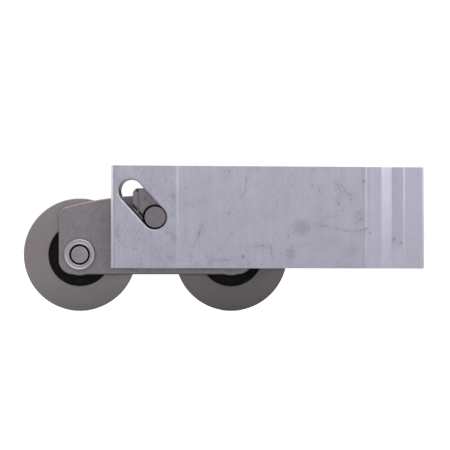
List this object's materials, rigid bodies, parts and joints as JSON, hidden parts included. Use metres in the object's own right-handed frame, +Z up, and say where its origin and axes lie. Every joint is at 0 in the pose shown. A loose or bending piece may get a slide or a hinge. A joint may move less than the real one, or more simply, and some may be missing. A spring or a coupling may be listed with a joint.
{
  "type": "sliding door roller",
  "caption": "Tandem sliding door roller: two ball bearing steel wheels on a rocking carriage, raised and lowered in a slotted aluminium housing by an adjusting screw.",
  "frame": {"origin": "centre of the bounding box's bottom: midway along the length and the width, level with the underside of the wheels", "axes": "+X along the door from the open end to the screw end, +Y from the slotted front face to the back, +Z up"},
  "size_m": [0.1352, 0.0254, 0.0492],
  "materials": {
    "extrusion": "mill finish extrusion, faint drawing lines and handling stains",
    "stamping": "stamped stainless steel with rolled edges",
    "wheel_steel": "turned steel faces, fine concentric marks",
    "turned_steel": "turned and swaged, faint mottling",
    "bearing_steel": "ground and polished",
    "zinc_plate": "clear zinc plate",
    "seal_rubber": "matt black moulded rubber",
    "cage_nylon": "natural nylon"
  },
  "bodies": {
    "housing": {"housing": "extrusion"},
    "pivot": {"pivot_pin": "turned_steel", "pivot_washer_front": "zinc_plate", "pivot_washer_rear": "zinc_plate"},
    "carriage": {"carriage_plate_front": "stamping", "carriage_plate_rear": "stamping", "pivot_bush": "zinc_plate", "left_hub_sleeve": "turned_steel", "left_axle_pin": "turned_steel", "left_bearing_inner_ring": "bearing_steel", "right_hub_sleeve": "turned_steel", "right_axle_pin": "turned_steel", "right_bearing_inner_ring": "bearing_steel"},
    "links": {"pull_link_front": "stamping", "pull_link_rear": "stamping"},
    "nut": {"barrel_nut": "zinc_plate"},
    "screw": {"adjusting_screw": "zinc_plate", "screw_washer": "zinc_plate", "screw_retaining_ring": "turned_steel"},
    "left_wheel": {"left_wheel": "wheel_steel", "left_seal_front": "seal_rubber", "left_seal_rear": "seal_rubber"},
    "left_balls": {"left_ball_cage": "cage_nylon", "left_ball_1": "bearing_steel", "left_ball_2": "bearing_steel", "left_ball_3": "bearing_steel", "left_ball_4": "bearing_steel", "left_ball_5": "bearing_steel", "left_ball_6": "bearing_steel", "left_ball_7": "bearing_steel"},
    "right_wheel": {"right_wheel": "wheel_steel", "right_seal_front": "seal_rubber", "right_seal_rear": "seal_rubber"},
    "right_balls": {"right_ball_cage": "cage_nylon", "right_ball_1": "bearing_steel", "right_ball_2": "bearing_steel", "right_ball_3": "bearing_steel", "right_ball_4": "bearing_steel", "right_ball_5": "bearing_steel", "right_ball_6": "bearing_steel", "right_ball_7": "bearing_steel"}
  },
  "joints": [
    {"name": "height_adjust", "type": "slide", "parent": "housing", "child": "pivot", "axis": [-0.6782, 0, 0.7349], "range_m": [0, 0.012]},
    {"name": "carriage_rock", "type": "hinge", "parent": "pivot", "child": "carriage", "pos_m": [-0.023, 0, 0.03175], "axis": [0, 1, 0], "range_deg": [-6, 6]},
    {"name": "link_tilt", "type": "hinge", "parent": "pivot", "child": "links", "pos_m": [-0.023, 0, 0.03175], "axis": [0, 1, 0], "range_deg": [0, 9.63]},
    {"name": "nut_travel", "type": "slide", "parent": "housing", "child": "nut", "axis": [1, 0, 0], "range_m": [-0.00802, 0]},
    {"name": "screw_turn", "type": "hinge", "parent": "housing", "child": "screw", "pos_m": [0.04825, 0, 0.03625], "axis": [1, 0, 0], "range_deg": [0, 2268]},
    {"name": "left_wheel_spin", "type": "hinge", "parent": "carriage", "child": "left_wheel", "pos_m": [-0.0486, 0, 0.01905], "axis": [0, 1, 0], "continuous": true},
    {"name": "right_wheel_spin", "type": "hinge", "parent": "carriage", "child": "right_wheel", "pos_m": [0.0026, 0, 0.01905], "axis": [0, 1, 0], "continuous": true},
    {"name": "left_ball_orbit", "type": "hinge", "parent": "carriage", "child": "left_balls", "pos_m": [-0.0486, 0, 0.01905], "axis": [0, 1, 0], "continuous": true},
    {"name": "right_ball_orbit", "type": "hinge", "parent": "carriage", "child": "right_balls", "pos_m": [0.0026, 0, 0.01905], "axis": [0, 1, 0], "continuous": true}
  ],
  "couplings": [
    {"joint": "link_tilt", "follows": "height_adjust", "rad_per_m": 13.937},
    {"joint": "nut_travel", "follows": "height_adjust", "ratio": -0.6664},
    {"joint": "screw_turn", "follows": "height_adjust", "rad_per_m": 3296.9},
    {"joint": "left_ball_orbit", "follows": "left_wheel_spin", "ratio": 0.622},
    {"joint": "right_ball_orbit", "follows": "right_wheel_spin", "ratio": 0.622}
  ]
}
